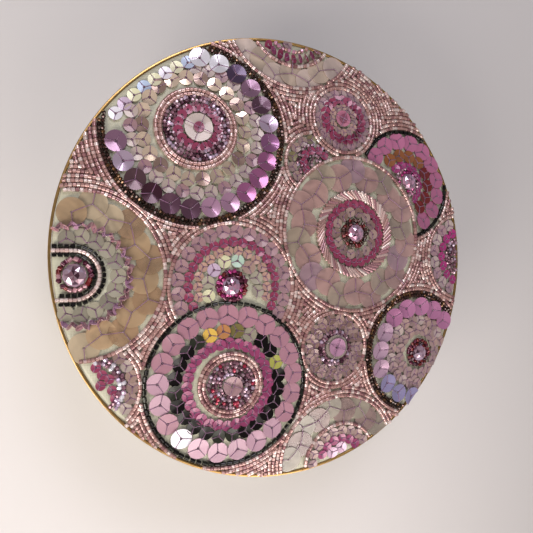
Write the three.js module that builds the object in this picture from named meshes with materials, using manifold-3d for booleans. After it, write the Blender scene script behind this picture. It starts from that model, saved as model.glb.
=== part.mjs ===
// A round jewelry box with a padded silk lid, sewn all over with sequins and seed beads.
// Millimetres, +Z up, origin at the middle of the underside.

import * as THREE from 'three';
import { mergeVertices } from 'three/addons/utils/BufferGeometryUtils.js';
import Module from 'manifold-3d';

const wasm = await Module();
wasm.setup();

// The drum
const bodyRadius = 72;
const bodyHeight = 50;
const bodyWall = 3;
const bodyFloor = 3.5;
const footChamfer = 1.2;
const mouthChamfer = 0.6;

// The lid, which rests on the drum's mouth and lifts off
const bandRadius = 75;
const bandWall = 0.9;
const bandHeight = 4.7;
const bandRounding = 0.3;
const boardThickness = 3;
const lipDepth = 7;
const lipWall = 2.5;
const lipClearance = 0.6;
const touchGap = 0.3;

// The silk pad on the lid's board
const padClearance = 0.6;
const padEdge = 1.1;
const domeHeight = 6;
const domeRings = 5;

// The needlework: bead rows, sequin fields and single stones, all a hair above the silk
const sewnGap = 0.3;
const sewnMargin = 0.3;
const bridgeRoom = 0.1;
const fieldClearance = 0.55;
const beadSize = 1.4;
const strandCrown = 0.5;
const stepOverlap = 0.15;
const stepLift = 0.06;
const scallopDepth = 0.16;
const groundHeight = 1.1;
const groundLift = 0.25;
const smallestIsland = 4;
const stoneHeight = 2.4;
const stoneGirdle = 0.8;
const stoneTable = 0.5;
const cupHeight = 0.7;
const beadBedHeight = 1.2;
const sequinBedHeight = 0.7;
const cupBedHeight = 0.9;
const beadRingHeight = 1.5;
const smallSequin = 4;
const cupSequin = 6.6;
const largeSequin = 9.5;
const crystalSize = 6.3;
const largeCrystal = 7.5;
const middleSequin = 6.4;
const largeMiddleSequin = 9.3;

// How finely round things are cut
const roundSides = 48;
const sideLength = 6;
const fewestSides = 14;
const stoneSides = 9;
const weldTolerance = 1e-4;
const cutterHeight = 40;

// Places and levels that follow from the sizes above
const lidBottom = bodyHeight + touchGap;
const boardTop = lidBottom + boardThickness;
const boardRadius = bandRadius - bandWall - touchGap;
const padBottom = boardTop + touchGap;
const padRadius = bandRadius - bandWall - padClearance;
const padEdgeTop = padBottom + padEdge;
const sewnRadius = padRadius - sewnMargin;
const strandWidth = beadSize - touchGap;
const doubleStrandWidth = 2 * beadSize - touchGap;
const bronzeStrandWidth = 2;

const colours = {
  silk: 0xcfd2bb,
  board: 0xb9ab92,
  brass: 0xc9a063,
  rose: 0xb98a80,
  bronze: 0x3d2114,
  black: 0x17140f,
  plum: 0x6b4a6e,
  amber: 0xb59a6e,
  blush: 0xc792a0,
  crimson: 0xa83568,
  taupe: 0xa98680,
  orchid: 0xb8708f,
  beige: 0xb09a80,
  crystal: 0xd8a8c0,
};

// Each rosette is a sewn circle. Where two meet, the one listed first lies on top.
// steps go from the middle outwards: [outer radius, height above the silk]. The last ring, of edgeHeight,
// reaches to the strand.
// The needlework is drawn to suit the lid, so places and radii are in hundredths of the band's radius.
const drawnRosettes = [
  {
    name: 'plum_rosette', at: [-41.07, 52.67], radius: 38.67, strand: bronzeStrandWidth, strandColour: 'bronze',
    fieldColour: 'plum', sequin: cupSequin,
    steps: [[13.87, cupBedHeight], [18.27, beadRingHeight], [27.2, cupBedHeight]], edgeHeight: sequinBedHeight,
  },
  {
    name: 'black_rosette', at: [-26.8, -55.73], radius: 35.33, strand: strandWidth, strandColour: 'black',
    fieldColour: 'blush', sequin: cupSequin,
    steps: [[10.13, cupBedHeight], [15.07, beadRingHeight], [25.87, cupBedHeight]], edgeHeight: sequinBedHeight,
  },
  {
    name: 'bugle_rosette', at: [34.53, 10.93], radius: 36, strand: strandWidth, strandColour: 'rose',
    fieldColour: 'taupe', sequin: largeSequin,
    steps: [[7.07, beadBedHeight], [15.33, sequinBedHeight], [20.8, beadRingHeight]], edgeHeight: sequinBedHeight,
  },
  {
    name: 'small_rosette', at: [30.13, 64.53], radius: 16.53, strand: doubleStrandWidth, strandColour: 'rose',
    fieldColour: 'crimson', sequin: smallSequin,
    steps: [[8.4, cupBedHeight]], edgeHeight: sequinBedHeight,
  },
  {
    name: 'amber_rosette', at: [-88.67, -8.67], radius: 34.67, strand: strandWidth, strandColour: 'rose',
    fieldColour: 'amber', sequin: largeSequin,
    steps: [[12.8, beadRingHeight], [23.33, cupBedHeight]], edgeHeight: sequinBedHeight,
  },
  {
    name: 'olive_rosette', at: [24.27, -42], radius: 16.4, strand: strandWidth, strandColour: 'rose',
    fieldColour: 'beige', sequin: smallSequin,
    steps: [[8.27, beadBedHeight]], edgeHeight: sequinBedHeight,
  },
  {
    name: 'lilac_rosette', at: [71.6, -46.13], radius: 28.4, strand: bronzeStrandWidth, strandColour: 'bronze',
    fieldColour: 'orchid', sequin: cupSequin,
    steps: [[8.4, beadBedHeight], [16.93, cupBedHeight]], edgeHeight: sequinBedHeight,
  },
  {
    name: 'orchid_rosette', at: [64.8, 36.53], radius: 25.87, strand: strandWidth, strandColour: 'black',
    fieldColour: 'orchid', sequin: cupSequin,
    steps: [[7.47, beadBedHeight], [14.53, cupBedHeight]], edgeHeight: sequinBedHeight,
  },
  {
    name: 'back_inner_rosette', at: [5.73, 108.53], radius: 20.8, strand: strandWidth, strandColour: 'rose',
    fieldColour: 'crimson', sequin: smallSequin,
    steps: [], edgeHeight: cupBedHeight,
  },
  {
    name: 'back_rosette', at: [6.4, 109.87], radius: 32.8, strand: strandWidth, strandColour: 'rose',
    fieldColour: 'beige', sequin: largeSequin,
    steps: [], edgeHeight: sequinBedHeight,
  },
  {
    name: 'front_inner_rosette', at: [30.53, -96.4], radius: 18.27, strand: strandWidth, strandColour: 'rose',
    fieldColour: 'blush', sequin: smallSequin,
    steps: [], edgeHeight: cupBedHeight,
  },
  {
    name: 'front_rosette', at: [29.2, -94.4], radius: 29.6, strand: strandWidth, strandColour: 'rose',
    fieldColour: 'beige', sequin: largeSequin,
    steps: [], edgeHeight: sequinBedHeight,
  },
  {
    name: 'right_rosette', at: [100.27, 1.07], radius: 21.33, strand: strandWidth, strandColour: 'rose',
    fieldColour: 'crimson', sequin: smallSequin,
    steps: [], edgeHeight: sequinBedHeight,
  },
  {
    name: 'crimson_rosette', at: [-25.2, -13.47], radius: 27.47, strand: strandWidth, strandColour: 'rose',
    fieldColour: 'crimson', sequin: smallSequin,
    steps: [[8.67, beadBedHeight], [17.2, cupBedHeight]], edgeHeight: sequinBedHeight,
  },
  {
    name: 'hidden_rosette', at: [14, 42.67], radius: 14.27, strand: strandWidth, strandColour: 'rose',
    fieldColour: 'beige', sequin: smallSequin,
    steps: [], edgeHeight: cupBedHeight,
  },
  {
    name: 'edge_rosette', at: [-83.07, -54.67], radius: 19.33, strand: strandWidth, strandColour: 'rose',
    fieldColour: 'beige', sequin: smallSequin,
    steps: [], edgeHeight: cupBedHeight,
  },
];

const onLid = (hundredths) => (hundredths * bandRadius) / 100;

const rosettes = drawnRosettes.map((drawn) => ({
  ...drawn,
  at: drawn.at.map(onLid),
  radius: onLid(drawn.radius),
  steps: [
    ...drawn.steps.map(([outer, height]) => [onLid(outer), height]),
    [onLid(drawn.radius) - drawn.strand / 2 - fieldClearance, drawn.edgeHeight],
  ],
}));

// Single stones and cups, each on the middle step of the rosette that carries it.
const stones = [
  { name: 'plum_middle_sequin', on: 'plum_rosette', at: [-39.87, 54.53], size: largeMiddleSequin, cup: true },
  { name: 'amber_middle_crystal', on: 'amber_rosette', at: [-89.6, -8.4], size: largeCrystal },
  { name: 'black_middle_sequin', on: 'black_rosette', at: [-24.8, -56.13], size: middleSequin, cup: true },
  { name: 'crimson_middle_crystal', on: 'crimson_rosette', at: [-26.27, -13.07], size: crystalSize },
  { name: 'bugle_middle_crystal', on: 'bugle_rosette', at: [34.4, 11.2], size: crystalSize },
  { name: 'small_middle_cup', on: 'small_rosette', at: [29.47, 64.93], size: middleSequin, cup: true },
  { name: 'orchid_middle_crystal', on: 'orchid_rosette', at: [66.13, 37.47], size: crystalSize },
  { name: 'lilac_middle_crystal', on: 'lilac_rosette', at: [72.93, -46.93], size: crystalSize },
  { name: 'olive_middle_sequin', on: 'olive_rosette', at: [24.67, -41.33], size: middleSequin, cup: true },
];

// Height of the silk above a point of the plan
function silkLevel(x, y) {
  return padEdgeTop + domeHeight * (1 - (x * x + y * y) / (padRadius * padRadius));
}

// A closed profile of [radius, height] pairs turned about the upright axis
function turned(profile, sides) {
  const points = profile.map(([radius, height]) => new THREE.Vector2(radius, height));
  return new THREE.LatheGeometry(points, sides).rotateX(Math.PI / 2);
}

function toSolid(geometry) {
  const bare = geometry.clone();
  bare.deleteAttribute('normal');
  bare.deleteAttribute('uv');
  const welded = mergeVertices(bare, weldTolerance);
  return new wasm.Manifold(new wasm.Mesh({
    numProp: 3,
    vertProperties: new Float32Array(welded.attributes.position.array),
    triVerts: new Uint32Array(welded.index.array),
  }));
}

function toGeometry(solid) {
  const mesh = solid.getMesh();
  const geometry = new THREE.BufferGeometry();
  geometry.setAttribute('position', new THREE.BufferAttribute(mesh.vertProperties, 3));
  geometry.setIndex(new THREE.BufferAttribute(mesh.triVerts, 1));
  return geometry;
}

// Stiff sequins bridge the curve of the pad, so the wider a ring is, the further it stands off
function bridgeLift(rosette) {
  const sags = rosette.steps.map(([outer], k) => {
    const inner = k > 0 ? rosette.steps[k - 1][0] : 0;
    return (domeHeight * (outer * outer - inner * inner)) / (padRadius * padRadius);
  });
  return Math.max(0, Math.max(...sags) - sewnGap + bridgeRoom);
}

// Lays flat needlework over the silk dome
function drape(geometry, lift = 0) {
  const position = geometry.attributes.position;
  for (let i = 0; i < position.count; i += 1) {
    const level = silkLevel(position.getX(i), position.getY(i)) + sewnGap + lift;
    position.setZ(i, position.getZ(i) + level);
  }
  return geometry;
}

function sidesFor(radius) {
  return Math.max(fewestSides, 2 * Math.round((Math.PI * radius) / sideLength));
}

// An upright round block through the whole needlework, for cutting
function cutter(x, y, radius, sides) {
  const block = new THREE.CylinderGeometry(radius, radius, cutterHeight, sides);
  return toSolid(block.rotateX(Math.PI / 2).translate(x, y, 0));
}

function coverRadius(rosette) {
  return rosette.radius + rosette.strand / 2 + touchGap;
}

function rosetteCutter(rosette) {
  return cutter(...rosette.at, coverRadius(rosette), sidesFor(rosette.radius));
}

// Keeps what lies on the pad and isn't covered by the rosettes listed before this one
function trimmed(solid, index) {
  const onPad = solid.intersect(cutter(0, 0, sewnRadius, roundSides));
  return rosettes.slice(0, index).reduce((left, upper) => left.subtract(rosetteCutter(upper)), onPad);
}

// One closed piece of a cut solid, from the largest to the smallest that still holds a bead
function pieces(solid) {
  return solid.decompose()
    .filter((piece) => piece.volume() > smallestIsland)
    .sort((a, b) => b.volume() - a.volume());
}

// A row of beads on its thread, as a low rounded cord
function strand(rosette) {
  const half = rosette.strand / 2;
  const crown = half * strandCrown;
  const { radius } = rosette;
  const profile = [
    [radius + half, 0],
    [radius + crown, beadSize],
    [radius - crown, beadSize],
    [radius - half, 0],
    [radius + half, 0],
  ];
  return toSolid(turned(profile, sidesFor(radius)).translate(...rosette.at, 0));
}

function roundOutline(radius, sides) {
  const points = [];
  for (let i = 0; i < sides; i += 1) {
    const turn = (2 * Math.PI * i) / sides;
    points.push(new THREE.Vector2(radius * Math.sin(turn), -radius * Math.cos(turn)));
  }
  return points;
}

// The outer row of sequins gives a field its scalloped edge, with one lobe for each sequin
function scallopedOutline(radius, sequin) {
  const lobes = Math.round((2 * Math.PI * (radius - sequin / 2)) / (sequin * 0.9));
  const points = [];
  for (let i = 0; i < 2 * lobes; i += 1) {
    const turn = (Math.PI * i) / lobes;
    const reach = i % 2 === 0 ? radius : radius - sequin * scallopDepth;
    points.push(new THREE.Vector2(reach * Math.sin(turn), -reach * Math.cos(turn)));
  }
  return points;
}

function plate(outline, hole, bottom, top) {
  const shape = new THREE.Shape(outline);
  if (hole) {
    shape.holes.push(new THREE.Path(hole.reverse()));
  }
  const geometry = new THREE.ExtrudeGeometry(shape, { depth: top - bottom, bevelEnabled: false });
  return toSolid(geometry.translate(0, 0, bottom));
}

// The sequins and beads inside a rosette's strand, as rings of different height
function field(rosette) {
  const rings = rosette.steps.map(([outer, height], k) => {
    const last = k === rosette.steps.length - 1;
    const sides = sidesFor(outer);
    const outline = last ? scallopedOutline(outer, rosette.sequin) : roundOutline(outer, sides);
    const inner = k > 0 ? rosette.steps[k - 1][0] - stepOverlap : 0;
    const hole = k > 0 ? roundOutline(inner, sidesFor(rosette.steps[k - 1][0])) : null;
    const bottom = (k % 2) * stepLift;
    return plate(outline, hole, bottom, height);
  });
  return rings.reduce((whole, ring) => whole.add(ring)).translate([...rosette.at, 0]);
}

// A cut crystal, or a cup sequin where the stone is marked as a cup
function stone({ on, at, size, cup }) {
  const carrier = rosettes.find((rosette) => rosette.name === on);
  const bed = carrier.steps[0][1] + bridgeLift(carrier);
  const half = size / 2;
  const top = cup ? cupHeight : stoneHeight;
  const profile = cup
    ? [[0, 0], [half, 0], [half, top], [0, top]]
    : [[0, 0], [half, 0], [half, stoneGirdle], [half * stoneTable, top], [0, top]];
  return turned(profile, stoneSides).translate(...at.map(onLid), bed + touchGap);
}

function boxBody() {
  const inner = bodyRadius - bodyWall;
  return turned([
    [0, 0],
    [bodyRadius - footChamfer, 0],
    [bodyRadius, footChamfer],
    [bodyRadius, bodyHeight - mouthChamfer],
    [bodyRadius - mouthChamfer, bodyHeight],
    [inner, bodyHeight],
    [inner, bodyFloor],
    [0, bodyFloor],
  ], roundSides);
}

function lidBoard() {
  const lipOuter = bodyRadius - bodyWall - lipClearance;
  const lipInner = lipOuter - lipWall;
  const lipBottom = lidBottom - lipDepth;
  return turned([
    [0, lidBottom],
    [lipInner, lidBottom],
    [lipInner, lipBottom],
    [lipOuter, lipBottom],
    [lipOuter, lidBottom],
    [boardRadius, lidBottom],
    [boardRadius, boardTop],
    [0, boardTop],
  ], roundSides);
}

function rimBand() {
  const inner = bandRadius - bandWall;
  const top = lidBottom + bandHeight;
  return turned([
    [inner, lidBottom],
    [bandRadius - bandRounding, lidBottom],
    [bandRadius, lidBottom + bandRounding],
    [bandRadius, top - bandRounding],
    [bandRadius - bandRounding, top],
    [inner, top],
    [inner, lidBottom],
  ], roundSides);
}

function silkPad() {
  const profile = [[0, padBottom], [padRadius, padBottom]];
  for (let i = domeRings; i >= 0; i -= 1) {
    const radius = (padRadius * i) / domeRings;
    profile.push([radius, silkLevel(radius, 0)]);
  }
  return turned(profile, roundSides);
}

// The rows of seed beads that fill the silk between the rosettes
function beadGround() {
  const disc = new THREE.CylinderGeometry(sewnRadius, sewnRadius, groundHeight, roundSides);
  const whole = toSolid(disc.rotateX(Math.PI / 2).translate(0, 0, groundHeight / 2));
  const cut = rosettes.reduce((left, rosette) => left.subtract(rosetteCutter(rosette)), whole);
  return pieces(cut);
}

const group = new THREE.Group();

function add(name, geometry, colour, roughness, metalness = 0) {
  const material = new THREE.MeshStandardMaterial({
    color: colours[colour],
    roughness,
    metalness,
    flatShading: true,
  });
  const mesh = new THREE.Mesh(geometry, material);
  mesh.name = name;
  group.add(mesh);
}

// Adds a cut piece of needlework, with a letter after its name where it falls into several
function addSewn(name, parts, colour, roughness, lift) {
  parts.forEach((part, k) => {
    const tail = k === 0 ? '' : `_${'abcdefghijklmnopqrstuvwxyz'[k]}`;
    add(`${name}${tail}`, drape(toGeometry(part), lift), colour, roughness);
  });
}

add('box_body', boxBody(), 'silk', 0.8);
add('lid_board', lidBoard(), 'board', 0.85);
add('rim_band', rimBand(), 'brass', 0.3, 1);
add('silk_pad', silkPad(), 'silk', 0.7);
rosettes.forEach((rosette, index) => {
  addSewn(`${rosette.name}_strand`, pieces(trimmed(strand(rosette), index)), rosette.strandColour, 0.4);
  const beds = pieces(trimmed(field(rosette), index));
  addSewn(`${rosette.name}_field`, beds, rosette.fieldColour, 0.35, bridgeLift(rosette));
});
stones.forEach((item) => {
  add(item.name, drape(stone(item)), item.cup ? 'blush' : 'crystal', 0.1);
});
beadGround().forEach((island, k) => {
  add(`bead_ground_${k + 1}`, drape(toGeometry(island), groundLift), 'rose', 0.4);
});

export default group;
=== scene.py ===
# %% [markdown]
# A round jewelry box with a padded silk lid, sewn all over with sequins, crystals and seed beads.
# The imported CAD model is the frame: it holds every size and place, and the script adds the looks.
# Everything is in metres, so the sizes below are written in millimetres and multiplied by MM.

# %% Load the frame
import math
import random

import bmesh
import bpy
from mathutils import Matrix, Vector


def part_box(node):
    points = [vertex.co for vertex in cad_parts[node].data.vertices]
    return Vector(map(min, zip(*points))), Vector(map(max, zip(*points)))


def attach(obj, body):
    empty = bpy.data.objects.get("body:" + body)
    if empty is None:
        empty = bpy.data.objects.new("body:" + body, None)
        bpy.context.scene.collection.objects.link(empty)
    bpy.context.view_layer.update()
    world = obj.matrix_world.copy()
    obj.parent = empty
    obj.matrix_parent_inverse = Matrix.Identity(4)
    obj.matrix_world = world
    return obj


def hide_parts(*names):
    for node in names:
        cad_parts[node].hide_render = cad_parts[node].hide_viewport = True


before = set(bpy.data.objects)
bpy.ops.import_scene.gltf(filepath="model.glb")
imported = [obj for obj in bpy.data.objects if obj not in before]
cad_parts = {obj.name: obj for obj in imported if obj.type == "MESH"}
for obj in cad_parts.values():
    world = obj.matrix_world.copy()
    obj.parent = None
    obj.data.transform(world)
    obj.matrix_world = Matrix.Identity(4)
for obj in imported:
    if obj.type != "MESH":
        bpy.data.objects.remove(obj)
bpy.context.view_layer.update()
NODES = sorted(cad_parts)
MM = 0.001
TURN = 2 * math.pi
UP = Vector((0, 0, 1))
print("nodes in the frame:", len(NODES))

# %% [markdown]
# The camera looks down on the lid from the left. Its place was found from the lid's outline in the
# photograph, a circle 150 mm across that is seen as an oval. The lens follows from a focal length of
# 577 pixels in a frame 533 pixels wide. A constraint could aim the camera, but here its three axes
# are worked out and set at once, so nothing is left to be evaluated.

# %% Camera
FRAME_PIXELS = 533
FOCAL_PIXELS = 577
SENSOR = 36.0
RIM_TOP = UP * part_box("rim_band")[1].z
EYE = Vector((-75.51, -6.23, 183.77)) * MM + RIM_TOP
AIM = Vector((-5.14, -3.43, 0.0)) * MM + RIM_TOP


def add_object(name, data):
    piece = bpy.data.objects.new(name, data)
    bpy.context.scene.collection.objects.link(piece)
    return piece


def make_camera():
    data = bpy.data.cameras.new("camera")
    data.sensor_width = SENSOR
    data.lens = SENSOR * FOCAL_PIXELS / FRAME_PIXELS
    data.clip_start = 0.01
    camera = add_object("camera", data)
    forward = (AIM - EYE).normalized()
    right = forward.cross(Vector((0, 1, 0))).normalized()
    up = right.cross(forward)
    turn = Matrix((right, up, -forward)).transposed().to_4x4()
    camera.matrix_world = Matrix.Translation(EYE) @ turn
    bpy.context.scene.camera = camera
    return camera


print("camera at", [round(v, 4) for v in make_camera().location])

# %% [markdown]
# Three small helpers carry the materials. Colours are written as sRGB hex, as they are read off a
# shade card, and turned to the linear values that the shader wants. One function adds a node with
# its settings and links, so a material reads as a list of what it is made of.

# %% Colour and node helpers


def linear(code):
    values = [int(code[i:i + 2], 16) / 255 for i in (0, 2, 4)]
    return tuple(v / 12.92 if v <= 0.04045 else ((v + 0.055) / 1.055) ** 2.4 for v in values) + (1.0,)


def add_node(tree, kind, settings=None, inputs=None):
    node = tree.nodes.new(kind)
    for name, value in (settings or {}).items():
        setattr(node, name, value)
    for name, value in (inputs or {}).items():
        if isinstance(value, bpy.types.NodeSocket):
            tree.links.new(value, node.inputs[name])
        else:
            node.inputs[name].default_value = value
    return node


def new_material(name, shader_inputs):
    material = bpy.data.materials.new(name)
    material.use_nodes = True
    tree = material.node_tree
    shader = tree.nodes["Principled BSDF"]
    for key, value in shader_inputs.items():
        shader.inputs[key].default_value = value
    return material, tree, shader


print("middle grey in linear:", round(linear("808080")[0], 3))

# %% [markdown]
# Sage silk satin covers the pad and the drum. It is woven, so it has threads at right angles, a soft
# sheen, and slow changes of tone where it is stretched. A picture of cloth could be laid on it, but
# two crossed waves give a weave that stays sharp close up. The waves read an attribute named cloth,
# which holds where each corner lay on the flat silk, so the weave follows the wall round. The real
# thread is about 0.1 mm, too fine to show, so it is drawn at 0.8 mm. The lid's inside is lined with
# paper, which takes the same tree in its own tones.

# %% Silk satin
SILK_THREAD = 0.8 * MM
SILK_SHADING = 1 / 90  # in metres, so about 11 mm
WAVE_PERIOD = math.pi / 10  # how far a wave texture of scale 1 runs before it repeats


def silk_material(name, code, shade):
    material, tree, shader = new_material(name, {"Roughness": 0.48, "Sheen Weight": 0.35})
    place = add_node(tree, "ShaderNodeAttribute", {"attribute_name": "cloth"}).outputs["Vector"]
    slow = add_node(tree, "ShaderNodeTexNoise", inputs={
        "Vector": place, "Scale": 1 / SILK_SHADING, "Detail": 3.0,
    }).outputs["Fac"]
    tone = add_node(tree, "ShaderNodeMix", {"data_type": "RGBA"}, {
        "Factor": slow, "A": linear(code), "B": linear(shade),
    })
    tree.links.new(tone.outputs["Result"], shader.inputs["Base Color"])
    warp, weft = [
        add_node(tree, "ShaderNodeTexWave", {"bands_direction": axis}, {
            "Vector": place, "Scale": WAVE_PERIOD / SILK_THREAD, "Distortion": 0.6, "Detail": 1.0,
        }).outputs["Fac"]
        for axis in ("X", "Y")
    ]
    weave = add_node(tree, "ShaderNodeMath", {"operation": "ADD"}, {0: warp, 1: weft})
    swells = add_node(tree, "ShaderNodeBump", inputs={
        "Height": slow, "Strength": 0.4, "Distance": 0.001,
    })
    threads = add_node(tree, "ShaderNodeBump", inputs={
        "Height": weave.outputs["Value"], "Strength": 0.22, "Distance": 0.00012,
        "Normal": swells.outputs["Normal"],
    })
    tree.links.new(threads.outputs["Normal"], shader.inputs["Normal"])
    return material


SILK = silk_material("sage_silk_satin", "cccab4", "b0ae96")
PAPER = silk_material("lining_paper", "b9ab92", "a4967e")
print("cloth and paper:", SILK.name, PAPER.name)

# %% [markdown]
# The band round the lid is thin rolled brass. Brass is a metal, so its colour is in its reflections
# and it keeps the default IOR. Rolling leaves it smooth, and a thin film dulls it in spots 2 to 3 mm
# wide. One flat tone would look like gold paint, so a noise mixes a duller and a brighter one.

# %% Brass
BRASS_SPOT = 1 / 420  # in metres, so about 2.4 mm


def brass_material():
    material, tree, shader = new_material("rolled_brass", {"Metallic": 1.0, "Roughness": 0.28})
    place = add_node(tree, "ShaderNodeTexCoord").outputs["Object"]
    film = add_node(tree, "ShaderNodeTexNoise", inputs={
        "Vector": place, "Scale": 1 / BRASS_SPOT, "Detail": 4.0,
    })
    spots = add_node(tree, "ShaderNodeMapRange", inputs={
        "Value": film.outputs["Fac"], "From Min": 0.3, "From Max": 0.7,
    })
    tone = add_node(tree, "ShaderNodeMix", {"data_type": "RGBA"}, {
        "Factor": spots.outputs["Result"], "A": linear("b8925a"), "B": linear("cca66a"),
    })
    tree.links.new(tone.outputs["Result"], shader.inputs["Base Color"])
    return material


BRASS = brass_material()
print("band:", BRASS.name)

# %% [markdown]
# Beads and sequins carry a colour of their own, kept on the mesh as an attribute named tint, because no two
# of them come out of a bag quite alike. A material for each colour would also do, but there are more than
# sixty shades. So there is one material for each finish, and they differ in how they take the light. Some
# also get a painted sheen: their colour turns paler where the surface turns away from the view. Clear film
# gets soft streaks that lighten and darken it, a painted sheen and shade, with a slight ripple.

# %% Finishes that read the tint
STREAK = 9 * MM


def streak_nodes(tree, shader, tint):
    """Painted sheen and shade: long soft streaks that darken and lighten the tint and ripple the surface."""
    place = add_node(tree, "ShaderNodeTexCoord").outputs["Object"]
    slow = add_node(tree, "ShaderNodeTexNoise", inputs={
        "Vector": place, "Scale": 1 / STREAK, "Detail": 2.0, "Distortion": 1.2,
    }).outputs["Fac"]
    level = add_node(tree, "ShaderNodeMapRange", inputs={
        "Value": slow, "From Min": 0.35, "From Max": 0.65, "To Min": 0.8, "To Max": 1.2,
    })
    bump = add_node(tree, "ShaderNodeBump", inputs={"Height": slow, "Strength": 0.1, "Distance": 0.0006})
    tree.links.new(bump.outputs["Normal"], shader.inputs["Normal"])
    scaled = add_node(tree, "ShaderNodeVectorMath", {"operation": "SCALE"}, {
        0: tint, "Scale": level.outputs["Result"],
    })
    return scaled.outputs["Vector"]


def tinted_material(name, shader_inputs, painted_sheen_colour=None, streaks=False):
    material, tree, shader = new_material(name, shader_inputs)
    tint = add_node(tree, "ShaderNodeAttribute", {"attribute_name": "tint"}).outputs["Color"]
    if streaks:
        tint = streak_nodes(tree, shader, tint)
    # Painted sheen: the colour is mixed towards a pale one where the surface turns away from the view.
    if painted_sheen_colour:
        edge = add_node(tree, "ShaderNodeLayerWeight", inputs={"Blend": 0.35})
        tint = add_node(tree, "ShaderNodeMix", {"data_type": "RGBA"}, {
            "Factor": edge.outputs["Facing"], "A": tint, "B": linear(painted_sheen_colour),
        }).outputs["Result"]
    tree.links.new(tint, shader.inputs["Base Color"])
    return material


# Clear glass over a bright lining: light comes back from inside the bead, under a hard gloss.
GLASS_BEAD = tinted_material("silver_lined_glass", {
    "Metallic": 0.4, "Roughness": 0.26, "Coat Weight": 0.5,
})
# Glass with a baked metal skin, for bronze and jet: dark, with thin bright lines along the thread.
METAL_BEAD = tinted_material("metallic_glass", {
    "Metallic": 0.7, "Roughness": 0.22, "Coat Weight": 0.5,
})
# Plastic film with metal on its back, pressed into cups: one facet flashes and the next stays dark.
CUP_FILM = tinted_material("metallic_film", {
    "Metallic": 0.5, "Roughness": 0.24, "Coat Weight": 0.4,
})
# Dyed plastic film with a plain gloss: a deep, even colour.
GLOSS_FILM = tinted_material("glossy_film", {
    "Metallic": 0.1, "Roughness": 0.3, "Coat Weight": 0.4,
})
# Film with a pearl coat: soft highlights, and a painted sheen of pale mauve where it turns away.
PEARL_FILM = tinted_material("pearl_film", {
    "Metallic": 0.15, "Roughness": 0.36, "Coat Weight": 0.3,
}, "c8acba")
# Polished black film. Its IOR is lowered from 1.5, so that it stays black beside the window.
BLACK_FILM = tinted_material("black_film", {"Roughness": 0.14, "IOR": 1.3})
# Clear rolled film: the silk shows through, its edges pale in a painted sheen, and painted streaks keep it
# from looking like glass.
CLEAR_FILM = tinted_material("clear_film", {
    "Roughness": 0.25, "Alpha": 0.62, "Coat Weight": 0.5,
}, "c0a8b0", streaks=True)
# Cut lead glass with a mirrored back: every facet is a hard, bright patch, and near white in a painted
# sheen.
CRYSTAL = tinted_material("cut_crystal", {
    "Metallic": 0.5, "Roughness": 0.04, "Coat Weight": 0.8, "IOR": 1.56,
}, "f0d0f0")
# Spun rayon: smoother and brighter than cotton, with a fine sheen.
THREAD = tinted_material("plum_rayon_thread", {
    "Roughness": 0.3, "Sheen Weight": 0.4, "Coat Weight": 0.4,
})
print("materials:", len(bpy.data.materials))

# %% [markdown]
# The drum, the lid board and the brass band are all turned shapes. A lathe would cut each from a
# profile, and a Screw modifier could sweep one, but poles and cloth places are easier to keep right
# point by point. So a profile is swept round the upright axis here, with its corners rounded, because
# board wrapped in cloth has no sharp edge. A closed profile gives a ring.

# %% Turned pieces
SEGMENTS = 144
ROUND_STEPS = 4


def rounded(corners):
    """Corners are (radius, height, rounding) in metres; a rounding of 0 leaves the corner sharp."""
    points = []
    for k, (r, z, size) in enumerate(corners):
        here = Vector((r, z))
        if size == 0:
            points.append(here)
            continue
        before = (Vector(corners[k - 1][:2]) - here).normalized()
        after = (Vector(corners[(k + 1) % len(corners)][:2]) - here).normalized()
        start, end = here + before * size, here + after * size
        for step in range(ROUND_STEPS + 1):
            t = step / ROUND_STEPS
            points.append(start * (1 - t) ** 2 + here * 2 * t * (1 - t) + end * t ** 2)
    return points


def join_rings(mesh, rings, closed=False):
    """Faces between each ring of points and the next; a ring of one point is a pole."""
    for low, high in zip(rings, rings[1:] + rings[:1] if closed else rings[1:]):
        count = max(len(low), len(high))
        for k in range(count):
            n = (k + 1) % count
            corners = [low[k % len(low)], low[n % len(low)], high[n % len(high)], high[k % len(high)]]
            mesh.faces.new(list(dict.fromkeys(corners)))


def mesh_object(name, mesh, smooth=True):
    bmesh.ops.recalc_face_normals(mesh, faces=mesh.faces)
    data = bpy.data.meshes.new(name)
    mesh.to_mesh(data)
    mesh.free()
    for face in data.polygons:
        face.use_smooth = smooth
    return add_object(name, data)


def turned(name, points, closed=False, segments=SEGMENTS):
    mesh = bmesh.new()
    rings = []
    for point in points:
        if point.x < 1e-6:
            rings.append([mesh.verts.new((0, 0, point.y))])
            continue
        angles = [TURN * k / segments for k in range(segments)]
        spots = [(point.x * math.cos(a), point.x * math.sin(a), point.y) for a in angles]
        rings.append([mesh.verts.new(spot) for spot in spots])
    join_rings(mesh, rings, closed)
    return mesh_object(name, mesh)


print("steps round a turned piece:", SEGMENTS)

# %% [markdown]
# Every piece is dressed in the same way. It gets its finish, it rides on the part's one body, and it stands
# for its CAD nodes. A piece of cloth is first given its cloth attribute: along the wall and up it where the
# wall is upright, and straight across where it lies flat.

# %% Cloth places and dressing


def lay_cloth(piece):
    cloth = piece.data.attributes.new("cloth", "FLOAT_VECTOR", "CORNER")
    for face in piece.data.polygons:
        middle = face.center
        reach = math.hypot(middle.x, middle.y)
        upright = abs(face.normal.z) < 0.7 and reach > 0.01
        around = math.atan2(middle.y, middle.x)
        for corner in face.loop_indices:
            spot = piece.data.vertices[piece.data.loops[corner].vertex_index].co
            if upright:
                step = math.atan2(spot.y, spot.x) - around
                step = (step + math.pi) % TURN - math.pi
                cloth.data[corner].vector = ((around + step) * reach, spot.z, 0)
            else:
                cloth.data[corner].vector = (spot.x, spot.y, 0)
    return piece


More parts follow.
